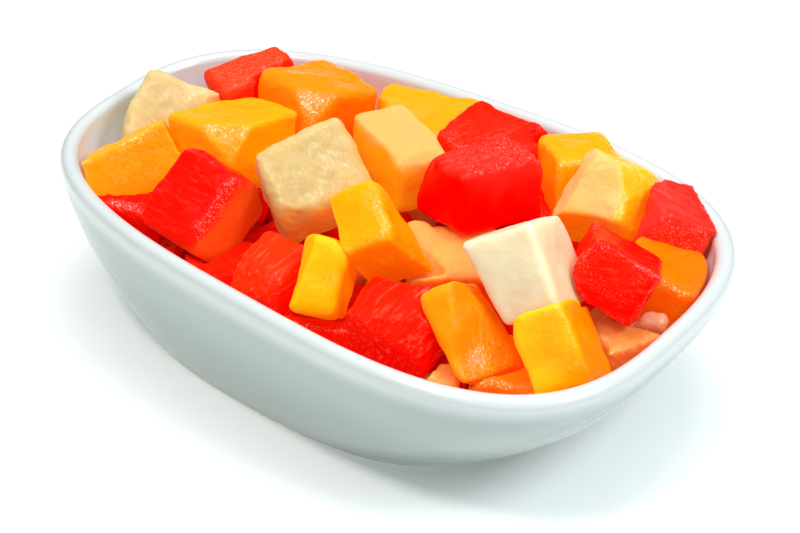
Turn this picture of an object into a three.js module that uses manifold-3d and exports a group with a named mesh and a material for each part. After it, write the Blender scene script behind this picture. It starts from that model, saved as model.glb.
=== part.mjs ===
// Fruit salad: cut papaya, mango, pineapple and melon heaped in an oval porcelain bowl.
// Millimetres, +Z up. The origin is on the table, under the middle of the bowl's overall length
// and width. +X runs along the bowl towards its broader end.
import * as THREE from 'three';
import Module from 'manifold-3d';

const wasm = await Module();
wasm.setup();

// The bowl: a rounded rectangle in plan that flares from a low foot to a thick rounded rim.
const bowl = {
  length: 170,
  width: 106,
  height: 42,
  rimSquareness: 2.93,
  rimTaper: 0.12,
  rimDip: 2,
  footLength: 114,
  footWidth: 84,
  footSquareness: 2.75,
  footTaper: 0.06,
  footShift: -6,
  flareAlong: 1.6,
  flareAcross: 1.8,
  risePower: 1.25, // how closely the outer wall's levels crowd towards the foot
  wall: 4.5,
  footRing: 5,
  footSlope: 1, // of the foot ring's inner face
  footRecess: 1.2,
};
const aroundBowl = 56;
const gap = 0.3; // left between pieces that touch

// The heap: how high the lower fruit and its juice stand between the named pieces.
const bed = {
  level: 24,
  crown: 4,
  unevenness: 1.2,
  belowEdge: 2, // from its level down to its edge on the bowl
  topRings: [0.85, 0.45], // the top's outlines, as shares of its edge
  longWave: [6.1, 5.3], // along X and along Y
  shortWave: [3.7, 4.9],
  shortShare: 0.6, // the short wave's height against the long one's
};

// Each cut piece: where its middle is, its size, and its turn. The turn is its own heading, then
// how far it is tipped, and the heading it is tipped towards. A pull moves one corner, in the
// piece's own directions: T or B for top or bottom, K or F for back or front, L or R for sides.
const papaya = [
  { at: [-56, 21, 40], size: [22, 16, 14], turn: [65, 10, -150] },
  { at: [9, 34, 37], size: [22, 25, 18], turn: [90, 5, -45] },
  { at: [18, 16, 43], size: [26, 22, 17], turn: [70, 15, 125], pull: { TKL: [0, 0, -3] } },
  { at: [59, 37, 38], size: [18, 22, 14], turn: [40, 25, 50], pull: { TKR: [-4, 0, 0] } },
  { at: [-33, -25, 38], size: [23, 19, 22], turn: [85, 45, -80] },
  { at: [62, 7, 42], size: [20, 22, 15], turn: [25, 35, 70] },
  { at: [-7, -31, 32], size: [18, 15, 14], turn: [95, 5, -75] },
  { at: [29, -30, 34], size: [21, 18, 15], turn: [10, 5, -125] },
  { at: [-58, -25, 28], size: [18, 17, 14], turn: [20, 10, -50] },
  { at: [-23, -31, 24], size: [18, 16, 14], turn: [55, 10, 20] },
  { at: [8, -31, 22], size: [20, 16, 14], turn: [25, 10, 110] },
  { at: [29, 32, 28], size: [18, 18, 16], turn: [35, 10, -60] },
  { at: [47, 1, 27], size: [24, 18, 16], turn: [15, 10, 120] },
  { at: [-42, -4, 29], size: [16, 16, 16], turn: [50, 15, 30] },
];
const mango = [
  { at: [-63, -20, 34], size: [28, 17, 16], turn: [50, 35, 175] },
  { at: [-44, -1, 39], size: [26, 24, 18], turn: [85, 15, 130] },
  { at: [-38, 24, 41], size: [24, 24, 15], turn: [75, 15, 90] },
  { at: [-14, 37, 34], size: [27, 20, 15], turn: [20, 10, -55] },
  { at: [-9, 20, 38], size: [15, 27, 16], turn: [65, 5, 70] },
  { at: [31, 40, 38], size: [18, 21, 18], turn: [50, 10, 125] },
  { at: [43, 33, 41], size: [21, 20, 19], turn: [10, 35, -95] },
  { at: [67, 20, 33], size: [21, 24, 16], turn: [15, 20, 45] },
  {
    at: [10, -15, 43],
    size: [16, 17, 23],
    turn: [45, 40, -90],
    pull: { BKR: [-4, 0, 0], BFR: [3, -3, -1] },
  },
  { at: [6, -28, 36], size: [12, 20, 19], turn: [25, 40, 110] },
  {
    at: [44, -22, 35],
    size: [18, 23, 13],
    turn: [85, 60, 40],
    pull: { TKL: [0, 0, -3], TKR: [0, 0, -3] },
  },
  { at: [63, -15, 35], size: [14, 19, 20], turn: [20, 45, 155] },
  { at: [53, -19, 23], size: [20, 20, 14], turn: [30, 5, 0] },
];
const pineapple = [
  { at: [-65, -1, 36], size: [24, 22, 18], turn: [20, 40, -40] },
  { at: [-15, -6, 42], size: [25, 21, 20], turn: [65, 35, -50] },
  { at: [22, 1, 28], size: [24, 21, 18], turn: [40, 10, -50] },
  { at: [67, 2, 27], size: [20, 16, 14], turn: [60, 10, -50] },
  { at: [69, 11, 30], size: [13, 13, 12], turn: [20, 10, -50] },
  { at: [42, -33, 24], size: [9, 8, 12], turn: [30, 15, 40] },
];
const melon = [
  { at: [48, -8, 45], size: [20, 21, 22], turn: [15, 40, 155], pull: { BFL: [6, 0, 0] } },
];

const finish = {
  papaya: { color: 0xe8321a, roughness: 0.25, metalness: 0 },
  mango: { color: 0xf2a31b, roughness: 0.25, metalness: 0 },
  pineapple: { color: 0xeccf88, roughness: 0.25, metalness: 0 },
  melon: { color: 0xf0e3c2, roughness: 0.3, metalness: 0 },
  bed: { color: 0xe2661a, roughness: 0.25, metalness: 0 },
  bowl: { color: 0xf4f6f5, roughness: 0.12, metalness: 0 },
};
const edgeRounding = 0.16; // of half a piece's size
const faceSink = 0.3; // of that rounding
const sinkWaves = [2.1, 1.7, 2.6]; // how fast the sinking changes over a piece, along each direction
const softGrid = [-1, edgeRounding - 1, 1 - edgeRounding, 1];
const sharpGrid = [-1, 0, 1];

const group = new THREE.Group();
const degrees = THREE.MathUtils.degToRad;
const blend = THREE.MathUtils.lerp;

// A flare that rises steeply at first and reaches 1 at the rim.
function flare(rise, power) {
  return 1 - (1 - rise) ** power;
}

// One level outline of the bowl's outer face, `inset` inwards, at a share `rise` of the height.
function bowlOutline(rise, inset, z, count) {
  const along = flare(rise, bowl.flareAlong);
  const across = flare(rise, bowl.flareAcross);
  const halfLength = blend(bowl.footLength, bowl.length, along) / 2 - inset;
  const halfWidth = blend(bowl.footWidth, bowl.width, across) / 2 - inset;
  const squareness = blend(bowl.footSquareness, bowl.rimSquareness, along);
  const taper = blend(bowl.footTaper, bowl.rimTaper, across);
  const points = [];
  for (let i = 0; i < count; i += 1) {
    const angle = (i / count) * 2 * Math.PI;
    const c = Math.abs(Math.cos(angle) / halfLength) ** squareness;
    const s = Math.abs(Math.sin(angle) / halfWidth) ** squareness;
    const radius = (c + s) ** (-1 / squareness);
    const x = radius * Math.cos(angle);
    const y = radius * Math.sin(angle) * (1 + (taper * x) / halfLength);
    const dip = bowl.rimDip * along ** 2 * (x / (bowl.length / 2)) ** 2;
    points.push([x + bowl.footShift * (1 - along), y, z - dip]);
  }
  return points;
}

// A closed body from level outlines, each end shut by a fan to its own middle.
function ringBody(rings) {
  const count = rings[0].length;
  const vertices = rings.flat(1);
  const triangles = [];
  for (let r = 0; r + 1 < rings.length; r += 1) {
    for (let i = 0; i < count; i += 1) {
      const a = r * count + i;
      const b = r * count + ((i + 1) % count);
      triangles.push([a, b, b + count], [a, b + count, a + count]);
    }
  }
  for (const [ring, flip] of [[0, true], [rings.length - 1, false]]) {
    const middle = [0, 1, 2].map((axis) => rings[ring].reduce((sum, p) => sum + p[axis], 0) / count);
    const tip = vertices.push(middle) - 1;
    for (let i = 0; i < count; i += 1) {
      const a = ring * count + i;
      const b = ring * count + ((i + 1) % count);
      triangles.push(flip ? [b, a, tip] : [a, b, tip]);
    }
  }
  return toSolid(vertices, triangles);
}

function toSolid(vertices, triangles) {
  return new wasm.Manifold(new wasm.Mesh({
    numProp: 3,
    vertProperties: new Float32Array(vertices.flat()),
    triVerts: new Uint32Array(triangles.flat()),
  }));
}

const lip = bowl.wall / 2;
const insideStep = 7.5;
const outsideSteps = 6;
const lipSteps = 4;
const wallTop = bowl.height - lip;
const floorFillet = [[9, 0.8], [6.2, 3.2], [5, 9]]; // height of the inside, and its inset
const aboveFillet = 2; // the lowest that a level of the inner wall comes to the fillet

// The inside of the bowl from the rim down to its floor, `clear` away from the porcelain.
function bowlInside(clear, count) {
  const rings = [];
  for (let z = wallTop; z > floorFillet[0][0] + aboveFillet; z -= insideStep) {
    rings.push(bowlOutline(z / wallTop, bowl.wall + clear, z, count));
  }
  for (const [z, inset] of floorFillet) {
    rings.push(bowlOutline(z / wallTop, bowl.wall + inset + clear, z + clear, count));
  }
  return rings;
}

// The bowl, or with a `clear` the bowl grown on its inside and lip, to cut the fruit against.
function bowlBody(clear, count) {
  const rings = [
    bowlOutline(0, bowl.footRing + bowl.footSlope, bowl.footRecess, count),
    bowlOutline(0, bowl.footRing, 0, count),
    bowlOutline(0, 0, 0, count),
  ];
  for (let step = 1; step < outsideSteps; step += 1) {
    const rise = (step / outsideSteps) ** bowl.risePower;
    rings.push(bowlOutline(rise, 0, rise * wallTop, count));
  }
  for (let step = 0; step < lipSteps; step += 1) {
    const turn = (step / lipSteps) * Math.PI;
    const inset = lip - (lip + clear) * Math.cos(turn);
    rings.push(bowlOutline(1, inset, wallTop + (lip + clear) * Math.sin(turn), count));
  }
  rings.push(...bowlInside(clear, count));
  return ringBody(rings);
}

// The lower fruit as one uneven body that fills the bowl to its level.
function bedBody() {
  const edge = bed.level - bed.belowEdge;
  const inside = bowlInside(gap, aroundBowl / 2).filter((ring) => ring[0][2] < edge).reverse();
  const shoulder = inside[inside.length - 1];
  const top = bed.topRings.map((scale) => shoulder.map(([x, y]) => {
    const px = x * scale;
    const py = y * scale;
    const long = Math.sin(px / bed.longWave[0] + 1) * Math.cos(py / bed.longWave[1]);
    const short = Math.sin(px / bed.shortWave[0] - py / bed.shortWave[1]);
    const wave = long + bed.shortShare * short;
    const crown = bed.crown * (1 - scale ** 2);
    return [px, py, bed.level + crown + bed.unevenness * wave];
  }));
  return ringBody([...inside, ...top]);
}

const cornerSides = { T: 1, B: -1, K: 1, F: -1, R: 1, L: -1 };

// The eight corners of a piece in its own directions, numbered by the signs of x, y and z.
function cornersOf(piece, grow) {
  const corners = [];
  for (let n = 0; n < 8; n += 1) {
    const signs = [n & 1 ? 1 : -1, n & 2 ? 1 : -1, n & 4 ? 1 : -1];
    corners.push(signs.map((sign, axis) => sign * (piece.size[axis] / 2 + grow)));
  }
  for (const [name, offset] of Object.entries(piece.pull ?? {})) {
    const [top, back, right] = [...name].map((letter) => (cornerSides[letter] > 0 ? 1 : 0));
    const corner = corners[right + 2 * back + 4 * top];
    offset.forEach((move, axis) => { corner[axis] += move; });
  }
  return corners;
}

// A point of the piece from its place in a cube of half-size 1.
function pieceAt(corners, [u, v, w]) {
  const point = [0, 0, 0];
  for (let n = 0; n < 8; n += 1) {
    const share = ((n & 1 ? 1 + u : 1 - u) * (n & 2 ? 1 + v : 1 - v) * (n & 4 ? 1 + w : 1 - w)) / 8;
    corners[n].forEach((value, axis) => { point[axis] += share * value; });
  }
  return point;
}

// Rounds the cube's edges and lets its faces sink a little, differently on each piece.
function softened(place, seed) {
  const flat = 1 - edgeRounding;
  const held = place.map((value) => Math.max(-flat, Math.min(flat, value)));
  const out = place.map((value, axis) => value - held[axis]);
  const reach = Math.hypot(...out) / edgeRounding;
  const [u, v, w] = place;
  const [across, deep, up] = sinkWaves;
  const wave = Math.sin(across * u + seed) * Math.cos(deep * v - seed) + Math.sin(up * w + 2 * seed);
  return held.map((value, axis) => value + (out[axis] / reach) * (1 - faceSink * (1 + wave / 2)));
}

// A piece as it is, or with a `grow` the sharp-edged room that it takes from its neighbours.
function pieceBody(piece, seed, grow) {
  const corners = cornersOf(piece, grow);
  const steps = grow > 0 ? sharpGrid : softGrid;
  const index = new Map();
  const vertices = [];
  const triangles = [];
  const [heading, tip, towards] = piece.turn.map(degrees);
  const tipAxis = new THREE.Vector3(-Math.sin(towards), Math.cos(towards), 0);
  const turned = new THREE.Quaternion().setFromAxisAngle(tipAxis, tip)
    .multiply(new THREE.Quaternion().setFromAxisAngle(new THREE.Vector3(0, 0, 1), heading));
  const vertex = (place) => {
    const key = place.join();
    if (!index.has(key)) {
      const inCube = grow > 0 ? place : softened(place, seed);
      const point = new THREE.Vector3(...pieceAt(corners, inCube));
      point.applyQuaternion(turned).add(new THREE.Vector3(...piece.at));
      index.set(key, vertices.push(point.toArray()) - 1);
    }
    return index.get(key);
  };
  for (let axis = 0; axis < 3; axis += 1) {
    for (const side of [-1, 1]) {
      for (let i = 0; i + 1 < steps.length; i += 1) {
        for (let j = 0; j + 1 < steps.length; j += 1) {
          const quad = [[i, j], [i + 1, j], [i + 1, j + 1], [i, j + 1]].map(([p, q]) => {
            const place = [0, 0, 0];
            place[axis] = side;
            place[(axis + 1) % 3] = steps[p];
            place[(axis + 2) % 3] = steps[q];
            return vertex(place);
          });
          if (side < 0) quad.reverse();
          triangles.push([quad[0], quad[1], quad[2]], [quad[0], quad[2], quad[3]]);
        }
      }
    }
  }
  return toSolid(vertices, triangles);
}

function biggest(solid) {
  return solid.decompose().sort((a, b) => b.volume() - a.volume())[0];
}

function addMesh(name, kind, solid) {
  const { vertProperties, triVerts } = solid.getMesh();
  const geometry = new THREE.BufferGeometry();
  geometry.setAttribute('position', new THREE.BufferAttribute(vertProperties, 3));
  geometry.setIndex(new THREE.BufferAttribute(triVerts, 1));
  geometry.computeVertexNormals();
  const mesh = new THREE.Mesh(geometry, new THREE.MeshStandardMaterial(finish[kind]));
  mesh.name = name;
  group.add(mesh);
}

addMesh('bowl', 'bowl', bowlBody(0, aroundBowl));

// From the top of the heap down, each piece is cut to the ones above it and to the bowl.
const pieces = Object.entries({ papaya, mango, pineapple, melon })
  .flatMap(([kind, list]) => list.map((piece, n) => ({ ...piece, kind, name: `${kind}_${n + 1}` })))
  .sort((a, b) => b.at[2] - a.at[2]);
let taken = bowlBody(gap, aroundBowl);
pieces.forEach((piece, n) => {
  addMesh(piece.name, piece.kind, biggest(pieceBody(piece, n, 0).subtract(taken)));
  taken = taken.add(pieceBody(piece, n, gap));
});
addMesh('fruit_bed', 'bed', biggest(bedBody().subtract(taken)));

export default group;
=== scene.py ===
import bpy
import bmesh
import math
import random
import numpy as np
from mathutils import Matrix, Vector, noise


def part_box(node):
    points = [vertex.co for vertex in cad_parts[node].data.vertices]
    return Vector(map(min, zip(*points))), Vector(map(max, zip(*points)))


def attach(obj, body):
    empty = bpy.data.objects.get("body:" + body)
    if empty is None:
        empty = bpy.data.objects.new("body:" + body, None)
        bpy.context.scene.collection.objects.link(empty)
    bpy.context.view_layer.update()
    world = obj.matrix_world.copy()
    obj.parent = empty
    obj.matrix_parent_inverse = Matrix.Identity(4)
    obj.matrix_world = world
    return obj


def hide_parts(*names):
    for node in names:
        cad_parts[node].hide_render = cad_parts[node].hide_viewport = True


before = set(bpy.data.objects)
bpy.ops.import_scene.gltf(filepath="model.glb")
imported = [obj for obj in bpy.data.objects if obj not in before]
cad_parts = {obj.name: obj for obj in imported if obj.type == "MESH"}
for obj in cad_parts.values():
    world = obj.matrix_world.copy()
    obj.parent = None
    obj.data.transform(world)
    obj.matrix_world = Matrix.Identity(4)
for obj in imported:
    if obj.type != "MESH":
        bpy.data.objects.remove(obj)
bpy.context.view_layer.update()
mm = 0.001
print("frame loaded:", len(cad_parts), "nodes")


def linear(hexColour):
    # a #rrggbb colour as the linear RGBA that a shader wants
    parts = [int(hexColour[i:i + 2], 16) / 255 for i in (1, 3, 5)]
    bright = [c / 12.92 if c <= 0.04045 else ((c + 0.055) / 1.055) ** 2.4 for c in parts]
    return (*bright, 1.0)


class Val:
    # a socket that can be used in sums
    def __init__(self, graph, socket):
        self.graph = graph
        self.socket = socket

    def __add__(self, other):
        return self.graph.maths("ADD", self, other)

    def __sub__(self, other):
        return self.graph.maths("SUBTRACT", self, other)

    def __rsub__(self, other):
        return self.graph.maths("SUBTRACT", other, self)

    def __mul__(self, other):
        return self.graph.maths("MULTIPLY", self, other)

    __radd__ = __add__
    __rmul__ = __mul__


class Graph:
    # one material's nodes
    def __init__(self, name):
        self.material = bpy.data.materials.new(name)
        self.material.use_nodes = True
        self.tree = self.material.node_tree
        self.tree.nodes.clear()

    def node(self, kind, settings=None, sockets=None, output=0):
        made = self.tree.nodes.new(kind)
        for key, value in (settings or {}).items():
            setattr(made, key, value)
        for key, value in (sockets or {}).items():
            if isinstance(value, Val):
                self.tree.links.new(value.socket, made.inputs[key])
            else:
                made.inputs[key].default_value = value
        return Val(self, made.outputs[output]) if len(made.outputs) else None

    def maths(self, operation, a, b, clamp=False):
        return self.node("ShaderNodeMath", {"operation": operation, "use_clamp": clamp},
                         {0: a, 1: b})

    def clamp(self, value):
        return self.maths("ADD", value, 0.0, clamp=True)

    def between(self, value, low, high):
        # 0 below low, 1 above high, eased between
        return self.node("ShaderNodeMapRange", {"interpolation_type": "SMOOTHSTEP"},
                         {"Value": value, "From Min": low, "From Max": high})

    def mix(self, a, b, factor):
        # two colours or colour sockets
        return self.node("ShaderNodeMix", {"data_type": "RGBA"}, {0: factor, 6: a, 7: b}, output=2)

    def mixPair(self, colours, factor):
        # two #rrggbb colours
        return self.mix(linear(colours[0]), linear(colours[1]), factor)

    def place(self, turn=(0, 0, 0), stretch=(1, 1, 1)):
        # object coordinates; a pattern is stretched first and then turned
        where = self.node("ShaderNodeTexCoord", output="Object")
        return self.node("ShaderNodeMapping", {"vector_type": "TEXTURE"},
                         {"Vector": where, "Rotation": turn, "Scale": stretch})

    def noise(self, vector, size, detail=2.0, roughness=0.5, distortion=0.0):
        # size is the grain in metres
        return self.node("ShaderNodeTexNoise", sockets={
            "Vector": vector, "Scale": 1 / size, "Detail": detail,
            "Roughness": roughness, "Distortion": distortion})

    def attribute(self, name):
        return self.node("ShaderNodeAttribute", {"attribute_name": name}, output="Fac")

    def finish(self, sockets):
        surface = self.node("ShaderNodeBsdfPrincipled", sockets=sockets)
        self.node("ShaderNodeOutputMaterial", sockets={"Surface": surface})
        return self.material


def addObject(name, mesh, material=None):
    made = bpy.data.objects.new(name, mesh)
    bpy.context.scene.collection.objects.link(made)
    if material:
        made.data.materials.clear()
        made.data.materials.append(material)
    return made


def smoothShaded(mesh):
    mesh.polygons.foreach_set("use_smooth", np.ones(len(mesh.polygons), bool))


def applied(piece):
    # the piece's modifiers become its mesh
    depsgraph = bpy.context.evaluated_depsgraph_get()
    mesh = bpy.data.meshes.new_from_object(piece.evaluated_get(depsgraph))
    piece.modifiers.clear()
    piece.data = mesh
    return mesh


def vertexArray(mesh):
    flat = np.empty(len(mesh.vertices) * 3)
    mesh.vertices.foreach_get("co", flat)
    return flat.reshape(-1, 3)


def normalArray(mesh):
    flat = np.empty(len(mesh.vertices) * 3, np.float32)
    mesh.vertex_normals.foreach_get("vector", flat)
    return flat.reshape(-1, 3).astype(float)


def edgeArray(mesh):
    flat = np.empty(len(mesh.edges) * 2, np.int32)
    mesh.edges.foreach_get("vertices", flat)
    return flat.reshape(-1, 2)


def spread(values, edges, times):
    # each vertex's value averaged with its neighbours', several times
    count = len(values)
    ones = np.ones(len(edges))
    share = np.bincount(edges[:, 0], ones, count) + np.bincount(edges[:, 1], ones, count) + 1
    for _ in range(times):
        summed = values.copy()
        for axis in range(values.shape[1]):
            summed[:, axis] += np.bincount(edges[:, 0], values[edges[:, 1], axis], count)
            summed[:, axis] += np.bincount(edges[:, 1], values[edges[:, 0], axis], count)
        values = summed / share[:, None]
    return values


def storeAttribute(mesh, name, values):
    layer = mesh.attributes.new(name, "FLOAT", "POINT")
    layer.data.foreach_set("value", np.asarray(values, np.float32))


def ripple(points, size, seed, stretch=None):
    # smooth noise at each point, with its grain in metres; stretch is a direction and a length
    spots = points / size
    if stretch is not None:
        along, length = stretch
        along = np.array(along) / np.linalg.norm(along)
        run = points @ along
        spots = (points - run[:, None] * along) / size + run[:, None] * along / length
    spots = spots + seed * 7.31  # each seed has its own stretch of the noise
    return np.array([noise.noise(spot) for spot in spots])


cameraView = {"azimuth": 37.4, "elevation": 36.2, "distance": 543 * mm,
              "target": (4.6 * mm, 2.5 * mm, 21 * mm),
              "lens": 100.35, "sensor": 36, "clip": (0.02, 10)}


def direction(azimuth, elevation):
    # azimuth 0 looks along +Y, and the answer points back at whoever looks
    a, e = math.radians(azimuth), math.radians(elevation)
    return Vector((math.sin(a) * math.cos(e), -math.cos(a) * math.cos(e), math.sin(e)))


back = direction(cameraView["azimuth"], cameraView["elevation"])
camera = bpy.data.objects.new("camera", bpy.data.cameras.new("camera"))
camera.data.lens = cameraView["lens"]
camera.data.sensor_width = cameraView["sensor"]
camera.data.clip_start, camera.data.clip_end = cameraView["clip"]
camera.location = Vector(cameraView["target"]) + back * cameraView["distance"]
camera.rotation_mode = "QUATERNION"
camera.rotation_quaternion = (-back).to_track_quat("-Z", "Y")
bpy.context.scene.collection.objects.link(camera)
bpy.context.scene.camera = camera
bpy.context.scene.view_settings.view_transform = "Standard"
print("camera set")


studio = {  # metres
    "floorHalf": 1.5, "floorDrop": 0.0002, "floorColours": ("#f5faf8", "#f8fcfa"),
    "mottleSize": 0.05, "floorRough": 0.9, "floorGlow": 0.16,
    "skyColour": "#f2f6ff", "skyLow": 0.06, "skyHigh": 0.8, "lampAim": (0, 0, 0.03),
}
softboxes = {  # from is the azimuth and elevation that the light comes from
    "overhead": {"from": (200, 78), "distance": 0.75, "size": (0.42, 0.42),
                 "watts": 2.05, "colour": "#ffffff"},
    "leftBox": {"from": (-10, 64), "distance": 0.75, "size": (0.14, 0.14),
                "watts": 2.0, "colour": "#fffaf2"},
    "rightBox": {"from": (100, 48), "distance": 0.8, "size": (0.25, 0.25),
                 "watts": 2.8, "colour": "#f4f8ff"},
}


def makeStudio():
    world = bpy.data.worlds.new("studio")
    bpy.context.scene.world = world
    world.use_nodes = True
    nodes, links = world.node_tree.nodes, world.node_tree.links
    background = nodes["Background"]
    background.inputs["Color"].default_value = linear(studio["skyColour"])
    heading = nodes.new("ShaderNodeTexCoord")
    split = nodes.new("ShaderNodeSeparateXYZ")
    rise = nodes.new("ShaderNodeMapRange")  # the sky brightens from the horizon up
    rise.inputs["To Min"].default_value = studio["skyLow"]
    rise.inputs["To Max"].default_value = studio["skyHigh"]
    links.new(heading.outputs["Generated"], split.inputs[0])
    rise.interpolation_type = "SMOOTHSTEP"
    links.new(split.outputs["Z"], rise.inputs["Value"])
    links.new(rise.outputs["Result"], background.inputs["Strength"])
    for name, box in softboxes.items():
        lamp = bpy.data.objects.new(name, bpy.data.lights.new(name, "AREA"))
        lamp.data.shape = "RECTANGLE"
        lamp.data.size, lamp.data.size_y = box["size"]
        lamp.data.energy = box["watts"]
        lamp.data.color = linear(box["colour"])[:3]
        toLamp = direction(*box["from"])
        lamp.location = Vector(studio["lampAim"]) + toLamp * box["distance"]
        lamp.rotation_mode = "QUATERNION"
        lamp.rotation_quaternion = (-toLamp).to_track_quat("-Z", "Y")
        bpy.context.scene.collection.objects.link(lamp)
    half = studio["floorHalf"]
    mesh = bpy.data.meshes.new("floor")
    corners = [(-half, -half, 0), (half, -half, 0), (half, half, 0), (-half, half, 0)]
    mesh.from_pydata(corners, [], [(0, 1, 2, 3)])
    graph = Graph("paleFloor")
    mottle = graph.noise(graph.place(), studio["mottleSize"], detail=3)
    colour = graph.mixPair(studio["floorColours"], mottle)
    floor = addObject("floor", mesh, graph.finish({
        "Base Color": colour, "Roughness": studio["floorRough"],
        "Emission Color": colour, "Emission Strength": studio["floorGlow"]}))
    floor.location.z = -studio["floorDrop"]


makeStudio()
print("studio made")


bowlShape = {  # millimetres
    "length": 170, "width": 106, "height": 42, "rimSquareness": 2.93, "rimTaper": 0.12, "rimDip": 2,
    "footLength": 114, "footWidth": 84, "footSquareness": 2.75, "footTaper": 0.06, "footShift": -6,
    "flareAlong": 1.6, "flareAcross": 1.8, "wall": 4.5,
    "rimShade": 0.095,  # painted shade: the lip takes at least this much of the outer wall's darker colour
    "underside": [(6, 1.2), (5.2, 0.3), (4.6, 0)],  # inset and height
    "footEdge": 0.7, "footEdgeSteps": 5, "ringGather": 1.25,  # the outer rings gather near the foot
    "around": 200, "outsideSteps": 36, "lipSteps": 14, "insideSteps": 30,
    "floorFillet": [(11, 0.4), (9, 0.8), (7.5, 1.7), (6.2, 3.2), (5.3, 5.6), (5, 9)],
}
bowlGlaze = {  # metres; the two colours of a pair run into each other in pools
    "inside": ("#e4f0f8", "#deebf3"), "lip": ("#f2f5f4", "#ebefee"), "lipFrom": (0.034, 0.0385),
    # painted shade: the outer wall is darker and greener than the inside, and lower darkens it
    # towards the foot
    "outer": ("#a9b5b0", "#a1aea8"), "outerFrom": (0, 0.2),
    "lower": ("#93a099", "#8b9992"), "lowerFrom": (0.2, 0.85),
    "footColour": "#ddd8cc", "footFrom": (0.0003, 0.0011), "footRough": 0.5,
    "poolSize": 0.03, "speckSize": 0.0012, "speckShare": 0.3,
    "rough": 0.16, "poolRough": 0.08, "relief": 0.08, "reliefDepth": 0.0004,
    "coat": 0.5, "coatRough": 0.08, "ior": 1.5,
}


def bowlOutline(rise, inset, z):
    # one ring of points; rise is 0 at the foot and 1 at the rim
    shape = bowlShape
    along = 1 - (1 - rise) ** shape["flareAlong"]
    across = 1 - (1 - rise) ** shape["flareAcross"]
    halfLength = (shape["footLength"] + (shape["length"] - shape["footLength"]) * along) / 2 - inset
    halfWidth = (shape["footWidth"] + (shape["width"] - shape["footWidth"]) * across) / 2 - inset
    square = shape["footSquareness"] + (shape["rimSquareness"] - shape["footSquareness"]) * along
    taper = shape["footTaper"] + (shape["rimTaper"] - shape["footTaper"]) * across
    angle = np.arange(shape["around"]) / shape["around"] * 2 * math.pi
    reach = abs(np.cos(angle) / halfLength) ** square + abs(np.sin(angle) / halfWidth) ** square
    radius = reach ** (-1 / square)
    x = radius * np.cos(angle)
    y = radius * np.sin(angle) * (1 + taper * x / halfLength)
    dip = shape["rimDip"] * along ** 2 * (x / (shape["length"] / 2)) ** 2
    return np.stack([x + shape["footShift"] * (1 - along), y, z - dip], axis=1)


def bowlMaterial():
    glaze = bowlGlaze
    graph = Graph("whiteGlaze")
    where = graph.place()
    pool = graph.noise(where, glaze["poolSize"], detail=2)
    speck = graph.noise(where, glaze["speckSize"], detail=2)
    height = graph.node("ShaderNodeSeparateXYZ", sockets={0: where}, output="Z")
    outside = graph.attribute("outside")
    inner = graph.mix(graph.mixPair(glaze["inside"], pool), graph.mixPair(glaze["lip"], pool),
                      graph.between(height, *glaze["lipFrom"]))
    outer = graph.mixPair(glaze["outer"], pool)
    lower = graph.mixPair(glaze["lower"], pool)
    # painted shade down the outer wall and on the lip
    colour = graph.mix(inner, outer, graph.between(outside, *glaze["outerFrom"]))
    colour = graph.mix(colour, lower, graph.between(outside, *glaze["lowerFrom"]))
    foot = 1 - graph.between(height, *glaze["footFrom"])  # bare clay where it stands
    colour = graph.mix(colour, linear(glaze["footColour"]), foot)
    rough = glaze["rough"] + pool * glaze["poolRough"] + foot * glaze["footRough"]
    bump = graph.node("ShaderNodeBump", sockets={
        "Strength": glaze["relief"], "Distance": glaze["reliefDepth"],
        "Height": speck * glaze["speckShare"] + pool})
    return graph.finish({"Base Color": colour, "Roughness": rough, "Normal": bump,
                         "Coat Weight": glaze["coat"], "Coat Roughness": glaze["coatRough"],
                         "IOR": glaze["ior"]})


def makeBowl():
    shape = bowlShape
    lip = shape["wall"] / 2
    wallTop = shape["height"] - lip
    footEdge = shape["footEdge"]
    rings = [bowlOutline(0, inset, z) for inset, z in shape["underside"]]
    rings.append(bowlOutline(0, footEdge, 0))
    for step in range(1, shape["footEdgeSteps"]):  # rounded foot edge
        turn = step / shape["footEdgeSteps"] * math.pi / 2
        inset, z = footEdge * (1 - math.sin(turn)), footEdge * (1 - math.cos(turn))
        rings.append(bowlOutline(0, inset, z))
    steps = shape["outsideSteps"]
    for step in range(1, steps):
        rise = (step / steps) ** shape["ringGather"]
        if rise * wallTop > footEdge:
            rings.append(bowlOutline(rise, 0, rise * wallTop))
    outsideCount = (len(rings) + shape["lipSteps"] // 2) * shape["around"]
    for step in range(shape["lipSteps"]):
        turn = step / shape["lipSteps"] * math.pi
        rings.append(bowlOutline(1, lip - lip * math.cos(turn), wallTop + lip * math.sin(turn)))
    lipCount = len(rings) * shape["around"]
    floorTop = shape["floorFillet"][0][0]
    for step in range(shape["insideSteps"]):
        z = wallTop + (floorTop - wallTop) * step / shape["insideSteps"]
        rings.append(bowlOutline(z / wallTop, shape["wall"], z))
    for z, inset in shape["floorFillet"]:
        rings.append(bowlOutline(z / wallTop, shape["wall"] + inset, z))
    count = shape["around"]
    points = np.concatenate(rings) * mm
    faces = []
    for ring in range(len(rings) - 1):
        for i in range(count):
            a, b = ring * count + i, ring * count + (i + 1) % count
            faces.append((a, b, b + count, a + count))
    under, inner = len(points), len(points) + 1  # the middles that close both ends
    points = np.vstack([points, points[:count].mean(axis=0), points[-count:].mean(axis=0)])
    last = (len(rings) - 1) * count
    for i in range(count):
        faces.append(((i + 1) % count, i, under))
        faces.append((last + i, last + (i + 1) % count, inner))
    mesh = bpy.data.meshes.new("bowl_glazed")
    mesh.from_pydata(points.tolist(), [], faces)
    smoothShaded(mesh)
    outside = np.zeros(len(points))  # how far down the outer wall each point is, from 0 to 1
    outside[:outsideCount] = 1 - points[:outsideCount, 2] / mm / shape["height"]
    # painted shade on the lip
    outside[:lipCount] = np.maximum(outside[:lipCount], shape["rimShade"])
    outside[under] = 1
    storeAttribute(mesh, "outside", outside)
    bowl = addObject("bowl_glazed", mesh, bowlMaterial())
    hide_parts("bowl")
    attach(bowl, "root")


makeBowl()
print("bowl made")
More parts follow.
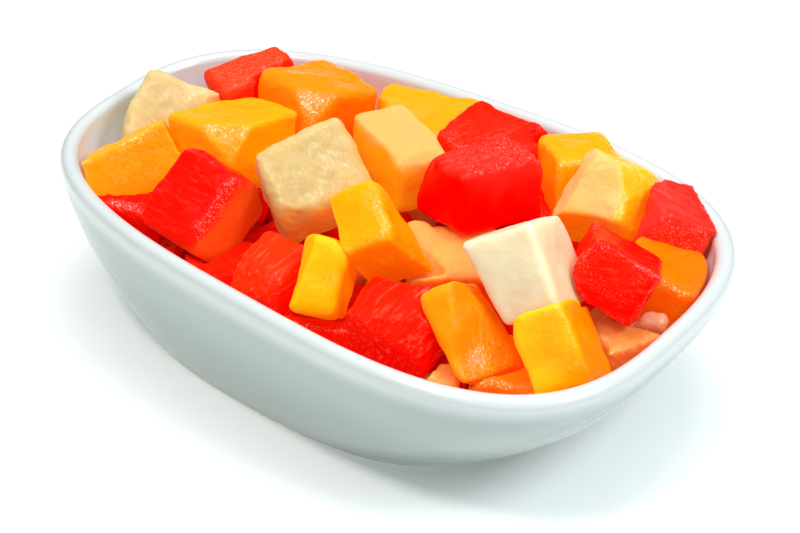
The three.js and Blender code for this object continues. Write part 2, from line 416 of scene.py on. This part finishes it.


# Painted shade: the colour runs from light on faces turned to the key light, through main, to deep
# on faces turned away and low down; deep is also more orange, painted light standing in for light
# bounced off the fruit around. Strands are pale, and so are the painted glints. The glow is painted
# light: the flesh glows in its own colour, standing in for light that comes through it. Scatter is
# how far light goes through the flesh in metres, and radius its share for red, green and blue.
# Wave, lump, fibre and ragged are the heights of the relief in millimetres.
fruitKinds = {
    "papaya": {
        "light": "#fb1c04", "main": "#fa0a01", "deep": "#f60400", "pale": "#ff9670",
        "radius": (1.0, 0.16, 0.06), "scatter": 0.008, "rough": 0.22, "gloss": 0.04, "paintedGlow": 0.1,
        "wetRough": 0.27, "juice": 0.9, "strandShow": 0.09,
        "wave": 0.8, "lump": 0.2, "fibre": 0.12, "fibreWidth": 1.3, "fibreLength": 9,
        "ragged": 0.4, "grain": 0.9, "paintedGlint": 0.38, "softening": 12,
    },
    "mango": {
        "light": "#fb9c0a", "main": "#fa9200", "deep": "#fb9600", "pale": "#ffe490",
        "radius": (1.0, 0.4, 0.06), "scatter": 0.008, "rough": 0.22, "gloss": 0.08, "paintedGlow": 0.2,
        "wetRough": 0.27, "juice": 0.85, "strandShow": 0.05,
        "wave": 0.8, "lump": 0.17, "fibre": 0.08, "fibreWidth": 1.0, "fibreLength": 12,
        "ragged": 0.2, "grain": 0.8, "paintedGlint": 0.38, "softening": 9,
    },
    "pineapple": {
        "light": "#d2ba80", "main": "#cda866", "deep": "#e88c30", "pale": "#f2e6c8",
        "radius": (1.0, 0.65, 0.3), "scatter": 0.008, "rough": 0.24, "gloss": 0.25, "paintedGlow": 0.04,
        "wetRough": 0.27, "juice": 0.85, "strandShow": 0.2,
        "wave": 0.85, "lump": 0.22, "fibre": 0.16, "fibreWidth": 1.1, "fibreLength": 8,
        "ragged": 0.25, "grain": 0.6, "paintedGlint": 0.22, "softening": 14,
    },
    "melon": {
        "light": "#f0e4c0", "main": "#ead8ac", "deep": "#e6c898", "pale": "#fbf4e0",
        "radius": (1.0, 0.8, 0.5), "scatter": 0.005, "rough": 0.3, "gloss": 0.25, "paintedGlow": 0.02,
        "wetRough": 0.3, "juice": 0.6, "strandShow": 0.2,
        "wave": 0.5, "lump": 0.14, "fibre": 0.05, "fibreWidth": 1.2, "fibreLength": 5,
        "ragged": 0.3, "grain": 0.6, "paintedGlint": 0.38, "softening": 5,
    },
}


fleshPattern = {  # sizes in metres; a pair is where a mask starts and where it is full
    "blotchSize": 0.011, "blotchShare": 0.6, "mainFrom": (0.08, 0.42), "deepFrom": (0.36, 0.85),
    "strandSize": 0.0011, "strandStretch": 7, "strandBend": 0.3, "strandMask": (0.5, 0.8),
    "patchSize": 0.008, "patchMask": (0.46, 0.62), "glitterMask": (0.54, 0.66),
    "ridgeMask": (0.08, 0.5), "ridgeFloor": 0.25, "ridgeShare": 0.5,
    "relief": 0.5, "reliefDepth": 0.0004, "strandRelief": 0.6, "grainRelief": 0.4,
    "scatterWeight": 0.9, "smoothIor": 1.36, "wetIor": 1.5, "wetGloss": 1.0,
}


def fruitMaterial(name, look, seed):
    pattern = fleshPattern
    graph = Graph(name)
    turn = look["strandTurn"] or (0.3 * seed, 0.5 * seed + 0.4, 0.9 * seed)  # each its own way
    where = graph.place()
    blotch = graph.noise(where, pattern["blotchSize"], detail=1)
    stretched = graph.place(turn, (1, 1, pattern["strandStretch"]))
    strand = graph.noise(stretched, pattern["strandSize"], detail=3,
                         distortion=pattern["strandBend"])
    grain = graph.noise(where, look["grainSize"] * mm, detail=1, roughness=0.4)
    # painted glints: the grain is paled, and made glossy, where a face turns to the light, and here
    # and there along the ridges
    patch = graph.between(graph.noise(where, pattern["patchSize"], detail=2), *pattern["patchMask"])
    ridge = graph.between(graph.attribute("edge"), *pattern["ridgeMask"])
    ridge = ridge * (pattern["ridgeFloor"] + (1 - pattern["ridgeFloor"]) * patch) * look["ridges"]
    gleam = graph.attribute("gleam") * graph.clamp(patch + look["gleamFloor"])
    juicy = graph.clamp(ridge * pattern["ridgeShare"] + gleam)
    glitter = juicy * graph.between(grain, *pattern["glitterMask"])
    # painted shade from the shade attribute, with random blotches of tone on top
    depth = graph.clamp(graph.attribute("shade") + (blotch - 0.5) * pattern["blotchShare"])
    colour = graph.mixPair((look["light"], look["main"]),
                           graph.between(depth, *pattern["mainFrom"]))
    colour = graph.mix(colour, linear(look["deep"]), graph.between(depth, *pattern["deepFrom"]))
    paler = graph.between(strand, *pattern["strandMask"]) * look["strandShow"]
    # painted glints: the glitter pales the colour, on top of the paler strands
    paler = graph.clamp(paler + glitter * look["paintedGlint"])
    colour = graph.mix(colour, linear(look["pale"]), paler)
    relief = strand * pattern["strandRelief"] + grain * look["grain"] * pattern["grainRelief"]
    ripples = graph.node("ShaderNodeBump", sockets={
        "Strength": pattern["relief"], "Distance": pattern["reliefDepth"], "Height": relief})
    # painted light: the flesh glows in its own colour, standing in for light that comes through it
    flesh = {"Base Color": colour, "Subsurface Weight": pattern["scatterWeight"],
             "Subsurface Radius": look["radius"], "Subsurface Scale": look["scatter"],
             "Emission Color": colour, "Emission Strength": look["paintedGlow"], "Normal": ripples}
    smooth = graph.node("ShaderNodeBsdfPrincipled", sockets={
        **flesh, "Roughness": look["rough"], "Specular IOR Level": look["gloss"],
        "IOR": pattern["smoothIor"]})
    wet = graph.node("ShaderNodeBsdfPrincipled", sockets={
        **flesh, "Roughness": look["wetRough"], "Specular IOR Level": pattern["wetGloss"],
        "IOR": pattern["wetIor"]})
    both = graph.node("ShaderNodeMixShader", sockets={
        0: graph.clamp(juicy * look["sheen"] + glitter) * look["juice"], 1: smooth, 2: wet})
    graph.node("ShaderNodeOutputMaterial", sockets={"Surface": both})
    return graph.material


# What every piece starts from. Its kind's values go over these, and its own over both.
# Sizes and depths are in millimetres; softening and the spreads are rounds of averaging.
cutting = {
    "voxel": 0.5, "hull": False, "crumb": 0.15,  # parts under this share of the piece are dropped
    "trims": 3, "trimDepth": (0.5, 1.6), "trimRise": (-20, 60),
    "edgeSpread": 5, "edgeFull": 0.12, "faceSpread": 14,
    "waveSize": 7.5, "lumpSize": 2.6, "raggedSize": 1.3, "crumbleSize": 1.5, "crumble": 0,
    # painted shade: faces turned from shadeLightFrom and low parts get the deeper colours; painted
    # glints go on faces turned to gleamFrom
    "shadeLightFrom": (-45, 45), "lowShade": 0.35, "lowMiddle": 0.35,
    "gleamFrom": (28, 52), "gleamNarrow": 0.88, "gleamCurve": 0.7, "gleamFloor": 0.15,
    "ridges": 1, "sheen": 0.25, "grainSize": 0.5, "strandTurn": None, "fibreAlong": None,
}
pieceTones = {  # a piece's own colours, with their painted light and shade, and finish; each From is an azimuth and elevation
    "papaya_1": {"light": "#fb3a0c", "main": "#fa2204", "deep": "#f80c00",
                 "gleamFrom": (0, 72), "gleamFloor": 0.8},
    "papaya_2": {"gleamFrom": (20, 58), "gleamFloor": 0.5},
    "papaya_3": {"light": "#fb2418", "main": "#fa0200", "deep": "#f80000", "softening": 50,
                 "crumble": 1.5, "fibre": 0.02, "strandShow": 0, "shadeLightFrom": (150, 60),
                 "gleamFrom": (150, 58), "gleamNarrow": 0.72, "gleamFloor": 0.5, "paintedGlint": 0.5},
    "papaya_4": {"light": "#e83028", "main": "#f02414", "deep": "#f43c18", "gleamFrom": (40, 8),
                 "gleamNarrow": 0.85, "gleamFloor": 0.8, "paintedGlint": 0.5},
    "papaya_5": {"light": "#f41004", "main": "#f91c06", "deep": "#fc6018", "softening": 20,
                 "faceSpread": 60, "gleamFrom": (62, 28), "gleamNarrow": 0.8, "gleamFloor": 0.7,
                 "paintedGlint": 0.55},
    "papaya_6": {"ridges": 2.2, "gleamFloor": 0.3},
    "papaya_7": {"light": "#fb3008", "main": "#fa2004", "deep": "#f61000",
                 "strandTurn": (1.57, 0, 0), "fibreAlong": (0, 1, 0.2), "fibre": 0.3,
                 "strandShow": 0.25},
    "papaya_8": {"strandTurn": (1.57, 0, 0), "fibreAlong": (0, 1, 0.2), "fibre": 0.3,
                 "strandShow": 0.25, "ridges": 0.4, "gleamFrom": (110, 45), "gleamFloor": 0},
    "papaya_9": {"light": "#f41404", "main": "#ec0a00", "deep": "#d40400"},
    "mango_3": {"light": "#fb8408", "main": "#fa7c00", "deep": "#fb6a00", "softening": 22,
                "faceSpread": 30, "gleamFrom": (34, 46), "gleamNarrow": 0.9, "gleamFloor": 0.9,
                "paintedGlint": 0.45},
    "mango_4": {"gleamFloor": 0.5},
    "mango_5": {"light": "#e6aa5e", "main": "#f4aa14", "deep": "#f69a06",
                "shadeLightFrom": (37, 80), "paintedGlint": 0.2},
    "mango_6": {"hull": True, "softening": 16},
    "mango_7": {"light": "#e8b46c", "main": "#f2ac24", "deep": "#f8b000", "shadeLightFrom": (-60, 30),
                "gleamFrom": (45, 42), "gleamFloor": 0.6, "strandShow": 0.3},
    "mango_8": {"light": "#f47000", "main": "#f06800", "deep": "#ee5c00",
                "hull": True, "softening": 16},
    "mango_9": {"light": "#fba406", "main": "#fa9a00", "deep": "#fa8400", "shadeLightFrom": (-30, 25),
                "gleamFrom": (50, 45), "gleamFloor": 0.7, "paintedGlint": 0.5},
    "mango_10": {"light": "#fdb810", "main": "#fca600", "deep": "#fb9200", "softening": 16,
                 "hull": True, "gleamFrom": (40, 42), "gleamNarrow": 0.96, "gleamFloor": 0},
    "mango_11": {"light": "#fb9408", "main": "#f98000", "deep": "#fa7000", "gleamFrom": (60, 48),
                 "gleamFloor": 0, "paintedGlint": 0.3},
    "mango_12": {"light": "#fdbc18", "main": "#fca800", "deep": "#f47e00",
                 "shadeLightFrom": (-52, 20), "gleamFloor": 0.4},
    "mango_13": {"light": "#f87008", "main": "#f45c00", "deep": "#ec4800"},
    "pineapple_2": {"light": "#ccb274", "main": "#cba45c", "deep": "#f4b040",
                    "softening": 22, "paintedGlow": 0.1},
    "pineapple_3": {"light": "#f0a450", "main": "#f08020", "deep": "#ec5c0c", "paintedGlint": 0.15,
                    "strandShow": 0.12, "gloss": 0.1, "paintedGlow": 0.08},
    "pineapple_4": {"light": "#e89848", "main": "#ee7c2c", "deep": "#f06010"},
    "pineapple_5": {"light": "#e8a888", "main": "#e09068", "deep": "#e07040"},
    "pineapple_6": {"light": "#f4a050", "main": "#ee8838", "deep": "#f07020"},
}
pieceTrims = {  # slices off a piece: azimuth and elevation that the slice faces, and its depth
    "mango_10": [(-52, 25, 3)],
    "papaya_8": [(30, 42, 4.5)],
    "papaya_7": [(-10, 40, 4)],
    "mango_11": [(75, 40, 7)],
    "mango_2": [(20, 48, 4)],
    "mango_3": [(34, 46, 4.5)],
    "mango_9": [(-52, -25, 3)],
    "papaya_3": [(-50, 25, 4), (127, 25, 2)],
    "mango_7": [(-60, 35, 5), (110, 40, 5), (160, 60, 3)],
    "pineapple_2": [(-50, -10, 2.5), (37, -10, 3)],
}


def trimmed(points, slices):
    # a knife slice flattens whatever stands past its plane
    for azimuth, elevation, depth in slices:
        facing = np.array(direction(azimuth, elevation))
        reach = points @ facing
        over = np.maximum(reach - (reach.max() - depth * mm), 0)
        points = points - over[:, None] * facing
    return points


def crumbsDropped(mesh):
    # small parts that came loose in the cutting go
    edges = edgeArray(mesh)
    part = np.arange(len(mesh.vertices))
    while True:  # each vertex takes the lowest number that it meets, until each part has one number
        lowest = part.copy()
        np.minimum.at(lowest, edges[:, 0], part[edges[:, 1]])
        np.minimum.at(lowest, edges[:, 1], part[edges[:, 0]])
        lowest = lowest[lowest]
        if (lowest == part).all():
            break
        part = lowest
    small = np.bincount(part)[part] < cutting["crumb"] * len(part)
    if small.any():
        shape = bmesh.new()
        shape.from_mesh(mesh)
        shape.verts.ensure_lookup_table()
        crumbs = [shape.verts[i] for i in np.flatnonzero(small)]
        bmesh.ops.delete(shape, geom=crumbs, context="VERTS")
        shape.to_mesh(mesh)
        shape.free()
    return mesh


def randomSlices(seed, count):
    pick = random.Random(seed)
    return [(pick.uniform(0, 360), pick.uniform(*cutting["trimRise"]),
             pick.uniform(*cutting["trimDepth"])) for _ in range(count)]


def weather(mesh, look, seed, slices):
    # knife waves, fibres and ragged edges, then what the material reads: gleam, where painted
    # glints go; edge; and shade, the painted shade
    points, edges = vertexArray(mesh), edgeArray(mesh)
    points = spread(trimmed(points, slices), edges, look["softening"])
    mesh.vertices.foreach_set("co", points.ravel())
    mesh.update()
    normals = normalArray(mesh)
    edge = 1 - np.linalg.norm(spread(normals, edges, look["edgeSpread"]), axis=1)
    edge = np.clip(edge / look["edgeFull"], 0, 1)
    heading = math.radians(50 * math.sin(seed)) + seed  # the strands' own way in each piece
    along = look["fibreAlong"] or (math.cos(heading), math.sin(heading), 0.5 * math.sin(2 * seed))
    faceNormals = spread(normals, edges, look["faceSpread"])
    faceNormals /= np.linalg.norm(faceNormals, axis=1)[:, None] + 1e-9
    # gleam: how squarely a face turns to where the key light glints back from; the painted glints
    # follow it
    facing = faceNormals @ np.array(direction(*look["gleamFrom"]))
    gleam = (facing - look["gleamNarrow"]) / (1 - look["gleamNarrow"])
    gleam = np.clip(gleam, 0, 1) ** look["gleamCurve"]
    strands = (along, look["fibreLength"] * mm)
    move = look["wave"] * ripple(points, look["waveSize"] * mm, seed)
    move += look["lump"] * ripple(points, look["lumpSize"] * mm, seed + 3)
    move += look["fibre"] * ripple(points, look["fibreWidth"] * mm, seed + 5, strands)
    move += look["ragged"] * edge * ripple(points, look["raggedSize"] * mm, seed + 9)
    move += look["crumble"] * gleam * ripple(points, look["crumbleSize"] * mm, seed + 11)
    points = points + normals * move[:, None] * mm
    mesh.vertices.foreach_set("co", points.ravel())
    mesh.update()
    height = points[:, 2]
    low = (height.max() - height) / (height.max() - height.min())
    # painted shade: faces turned away from the key light, and the low parts of the piece, get the
    # deeper colours
    away = 0.5 - 0.5 * (faceNormals @ np.array(direction(*look["shadeLightFrom"])))
    shade = away + look["lowShade"] * (low - look["lowMiddle"])
    storeAttribute(mesh, "gleam", gleam)
    storeAttribute(mesh, "edge", edge)
    storeAttribute(mesh, "shade", shade)
    smoothShaded(mesh)


def hulled(mesh):
    # the mesh closed to a convex shape
    shape = bmesh.new()
    shape.from_mesh(mesh)
    hull = bmesh.ops.convex_hull(shape, input=shape.verts)
    spare = set(hull["geom_interior"] + hull["geom_unused"])
    bmesh.ops.delete(shape, geom=list(spare), context="VERTS")
    shape.to_mesh(mesh)
    shape.free()
    return mesh


def cutPiece(name, mesh, look, seed, voxel, slices):
    # a plain solid becomes a cut piece of fruit, without its material
    piece = addObject(name, hulled(mesh) if look["hull"] else mesh)
    piece.data.materials.clear()
    remesh = piece.modifiers.new("remesh", "REMESH")
    remesh.mode = "VOXEL"
    remesh.voxel_size = voxel * mm
    weather(crumbsDropped(applied(piece)), look, seed, slices)
    return piece


def makePieces():
    for node in sorted(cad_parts):
        kind = node.rsplit("_", 1)[0]
        if kind not in fruitKinds:
            continue  # the bowl and the bed
        look = {**cutting, **fruitKinds[kind], **pieceTones.get(node, {})}
        seed = int(node.rsplit("_", 1)[1]) + 20 * list(fruitKinds).index(kind)
        slices = pieceTrims.get(node, []) + randomSlices(seed, look["trims"])
        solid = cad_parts[node].data.copy()
        piece = cutPiece(node + "_cut", solid, look, seed, look["voxel"], slices)
        piece.data.materials.append(fruitMaterial(node + "_cut_flesh", look, seed))
        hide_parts(node)
        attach(piece, "root")


makePieces()
print("pieces cut")


lowerFruit = {  # millimetres, and cubic millimetres for the smallest
    "spacing": 14.5, "size": (12.5, 15.5), "levels": (13, 22), "stray": (0.3, 0.7),
    "tilt": 0.6, "spin": 3, "gap": 0.5, "weld": 0.01, "voxel": 0.9, "smallest": 700, "seed": 12,
    "kinds": ["papaya", "papaya", "mango", "papaya", "papaya", "pineapple"],  # picked from evenly
    "coreDrop": 7, "coreVoxel": 1.2, "coreSeed": 91, "finishSeed": 7,
}
lowerShadedTones = {  # painted shade: deeper and duller than the fruit above, which they lie under, with less painted glow
    "papaya": {"light": "#f01004", "main": "#e40600", "deep": "#c00200",
               "paintedGlow": 0.02, "paintedGlint": 0.3},
    "mango": {"light": "#f48a08", "main": "#ee7800", "deep": "#e86000",
              "paintedGlow": 0.03, "paintedGlint": 0.3},
    "pineapple": {"light": "#e8a868", "main": "#e88848", "deep": "#e06020",
                  "paintedGlow": 0.02, "paintedGlint": 0.3},
}


def chunkMesh(size, turn, at):
    # a plain cube, turned and set in its place
    shape = bmesh.new()
    bmesh.ops.create_cube(shape, size=size * mm)
    bmesh.ops.transform(shape, matrix=Matrix.Translation(at) @ turn.to_4x4(), verts=shape.verts)
    mesh = bpy.data.meshes.new("chunk")
    shape.to_mesh(mesh)
    shape.free()
    return mesh


def combined(name, target, cutter, operation):
    # one boolean of two meshes, as a new mesh
    holder, knife = addObject(name, target), addObject("knife", cutter)
    step = holder.modifiers.new("cut", "BOOLEAN")
    step.operation = operation
    step.solver = "EXACT"
    step.object = knife
    mesh = applied(holder)
    bpy.data.objects.remove(holder)
    bpy.data.objects.remove(knife)
    return mesh


def bulk(mesh):
    # volume in cubic millimetres
    shape = bmesh.new()
    shape.from_mesh(mesh)
    volume = shape.calc_volume() / mm ** 3
    shape.free()
    return volume


def joined(name, parts):
    # several objects become one, under a new name
    first = parts[0]
    with bpy.context.temp_override(active_object=first, selected_editable_objects=parts):
        bpy.ops.object.join()
    first.name = name
    return first


def makeLowerFruit():
    lower = lowerFruit
    looks = {kind: {**cutting, **fruitKinds[kind], **tones} for kind, tones in lowerShadedTones.items()}
    pick = random.Random(lower["seed"])
    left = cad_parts["fruit_bed"].data.copy()  # what the cubes leave becomes the core
    whole = bmesh.new()
    whole.from_mesh(left)
    bmesh.ops.remove_doubles(whole, verts=whole.verts, dist=lower["weld"] * mm)
    whole.to_mesh(left)
    whole.free()
    low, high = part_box("fruit_bed")
    step = lower["spacing"] * mm
    chunks = {}
    for row in range(int((high[0] - low[0]) / step) + 1):
        for column in range(int((high[1] - low[1]) / step) + 1):
            at = Vector((low[0] + (row + pick.uniform(*lower["stray"])) * step,
                         low[1] + (column + pick.uniform(*lower["stray"])) * step,
                         pick.uniform(*lower["levels"]) * mm))
            lean = Vector([pick.uniform(-lower["tilt"], lower["tilt"]) for _ in range(3)])
            spin = Matrix.Rotation(pick.uniform(0, lower["spin"]), 3, "Z")
            turn = Matrix.Rotation(lean.length, 3, lean) @ spin
            size = pick.uniform(*lower["size"])
            kind = pick.choice(lower["kinds"])
            mesh = combined("chunk", chunkMesh(size, turn, at), left, "INTERSECT")
            if bulk(mesh) < lower["smallest"]:
                continue  # it stays in the core
            room = chunkMesh(size + 2 * lower["gap"], turn, at)
            left = combined("left", left, room, "DIFFERENCE")
            seed = 100 + 10 * row + column
            chunk = cutPiece("lower_chunk", mesh, looks[kind], seed, lower["voxel"], [])
            chunks.setdefault(kind, []).append(chunk)
    for kind, parts in sorted(chunks.items()):
        piece = joined("lower_" + kind, parts)
        flesh = fruitMaterial("lower_" + kind + "_flesh", looks[kind], lower["finishSeed"])
        piece.data.materials.append(flesh)
        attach(piece, "root")
        print("lower", kind, len(parts), "chunks")
    core = cutPiece("lower_core", left, looks["papaya"], lower["coreSeed"], lower["coreVoxel"],
                    [(0, 90, lower["coreDrop"])])
    flesh = fruitMaterial("lower_core_flesh", looks["papaya"], lower["coreSeed"])
    core.data.materials.append(flesh)
    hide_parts("fruit_bed")
    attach(core, "root")


makeLowerFruit()
print("lower fruit made")
